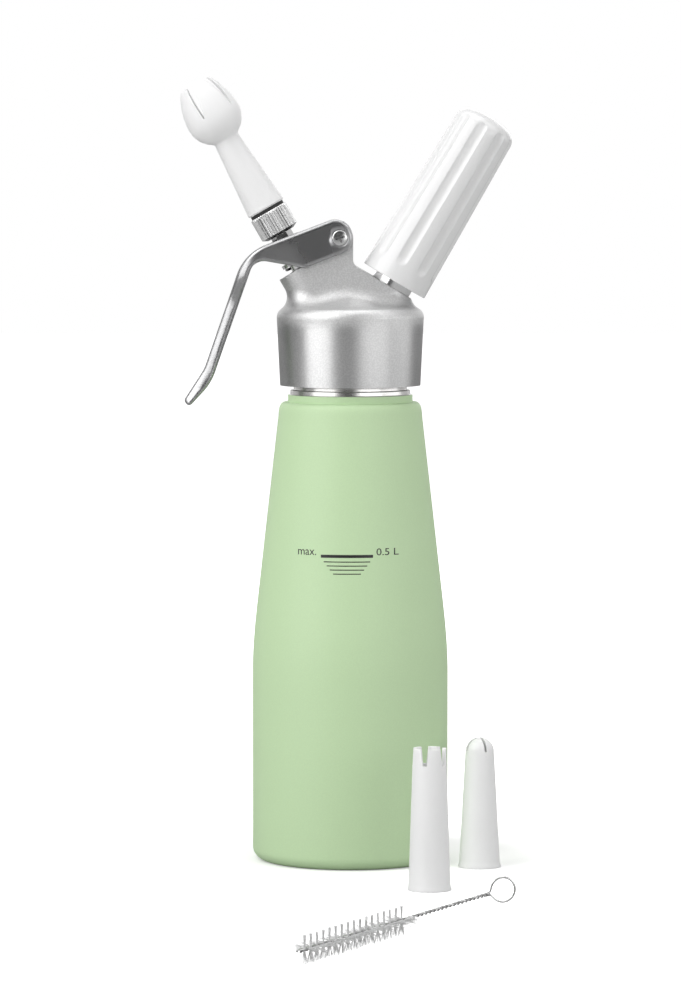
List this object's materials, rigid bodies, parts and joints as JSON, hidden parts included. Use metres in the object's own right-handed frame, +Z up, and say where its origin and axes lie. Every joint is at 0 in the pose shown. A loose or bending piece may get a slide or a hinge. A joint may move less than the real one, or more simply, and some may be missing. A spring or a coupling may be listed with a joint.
{
  "type": "whipped cream dispenser",
  "caption": "Lacquered bottle with a cast lever head, tilted slotted tip, screw-on gas charger holder, spare tips and a cleaning brush.",
  "frame": {"origin": "centre of the bottle's base, on the surface that it stands on", "axes": "+Z up along the bottle's axis; the lever and tip lean towards -X, the charger holder towards +X; the spare tips and brush lie in front, towards -Y"},
  "size_m": [0.1301, 0.3062, 0.3084],
  "materials": {
    "green_lacquer": "satin lacquer over steel, bare metal at the neck",
    "satin_casting": "fine sand-blasted satin casting",
    "lever_metal": "dark satin casting with lighter rounded edges",
    "bright_metal": "polished plated metal",
    "plain_steel": "drawn stainless steel",
    "black_rubber": "smooth sealing rubber",
    "clear_silicone": "milky silicone seal",
    "white_gloss": "glossy moulded white",
    "white_satin": "satin moulded white",
    "bristle_nylon": "clear nylon bristle"
  },
  "bodies": {
    "bottle_body": {"bottle": "green_lacquer"},
    "gasket_body": {"head_gasket": "clear_silicone"},
    "head_body": {"head": "satin_casting", "pivot_sleeve": "bright_metal", "pivot_screw": "bright_metal", "inlet_stud": "bright_metal", "charger_gasket": "clear_silicone", "piercing_pin": "plain_steel", "check_flap": "clear_silicone", "valve_spring": "plain_steel"},
    "lever_body": {"lever": "lever_metal"},
    "stem_body": {"valve_stem": "bright_metal", "stem_seal_lower": "black_rubber", "stem_seal_upper": "black_rubber", "valve_plug": "black_rubber", "valve_nut": "bright_metal"},
    "adapter_seal_body": {"adapter_seal": "black_rubber"},
    "adapter_body": {"adapter": "bright_metal"},
    "washer_body": {"tip_washer": "black_rubber"},
    "tulip_body": {"tulip_tip": "white_satin"},
    "charger_body": {"gas_charger": "plain_steel"},
    "holder_body": {"charger_holder": "white_gloss"},
    "star_tip_body": {"star_tip": "white_satin"},
    "round_tip_body": {"round_tip": "white_satin"},
    "brush_body": {"brush_wire": "plain_steel", "brush_bristles": "bristle_nylon"}
  },
  "joints": [
    {"name": "head_lift", "type": "slide", "parent": "bottle_body", "child": "gasket_body", "axis": [0, 0, 1], "range_m": [0, 0.01601]},
    {"name": "head_turn", "type": "hinge", "parent": "gasket_body", "child": "head_body", "pos_m": [0, 0, 0.205], "axis": [0, 0, 1], "range_deg": [0, 1440]},
    {"name": "lever_squeeze", "type": "hinge", "parent": "head_body", "child": "lever_body", "pos_m": [-0.0041, 0, 0.2453], "axis": [0, -1, 0], "range_deg": [0, 8], "stiffness_Nm_per_rad": 2, "springref_deg": -8.59},
    {"name": "valve_slide", "type": "slide", "parent": "head_body", "child": "stem_body", "axis": [0.5, 0, -0.866], "range_m": [0, 0.00274], "deforming": ["valve_spring"]},
    {"name": "adapter_lift", "type": "slide", "parent": "stem_body", "child": "adapter_seal_body", "axis": [-0.5, 0, 0.866], "range_m": [0, 0.00751]},
    {"name": "adapter_turn", "type": "hinge", "parent": "adapter_seal_body", "child": "adapter_body", "pos_m": [-0.0272, 0, 0.24661], "axis": [-0.5, 0, 0.866], "range_deg": [0, 2160]},
    {"name": "tip_lift", "type": "slide", "parent": "adapter_body", "child": "washer_body", "axis": [-0.5, 0, 0.866], "range_m": [0, 0.00601]},
    {"name": "tip_turn", "type": "hinge", "parent": "washer_body", "child": "tulip_body", "pos_m": [-0.03295, 0, 0.25657], "axis": [-0.5, 0, 0.866], "range_deg": [0, 1080]},
    {"name": "charger_feed", "type": "slide", "parent": "head_body", "child": "charger_body", "axis": [0.5105, 0, 0.8599], "range_m": [0, 0.00801]},
    {"name": "holder_turn", "type": "hinge", "parent": "charger_body", "child": "holder_body", "pos_m": [0.01715, 0, 0.22839], "axis": [0.5105, 0, 0.8599], "range_deg": [0, 1440]},
    {"name": "star_tip_lift", "type": "slide", "parent": "bottle_body", "child": "star_tip_body", "axis": [0, 0, 1], "range_m": [0, 0.15]},
    {"name": "round_tip_lift", "type": "slide", "parent": "bottle_body", "child": "round_tip_body", "axis": [0, 0, 1], "range_m": [0, 0.15]},
    {"name": "brush_lift", "type": "slide", "parent": "bottle_body", "child": "brush_body", "axis": [0, 0, 1], "range_m": [0, 0.15]}
  ],
  "couplings": [
    {"joint": "head_lift", "follows": "head_turn", "m_per_rad": 0.00063662},
    {"joint": "valve_slide", "follows": "lever_squeeze", "m_per_rad": 0.01955},
    {"joint": "adapter_lift", "follows": "adapter_turn", "m_per_rad": 0.00019894},
    {"joint": "tip_lift", "follows": "tip_turn", "m_per_rad": 0.00031831},
    {"joint": "charger_feed", "follows": "holder_turn", "m_per_rad": 0.00031831}
  ]
}
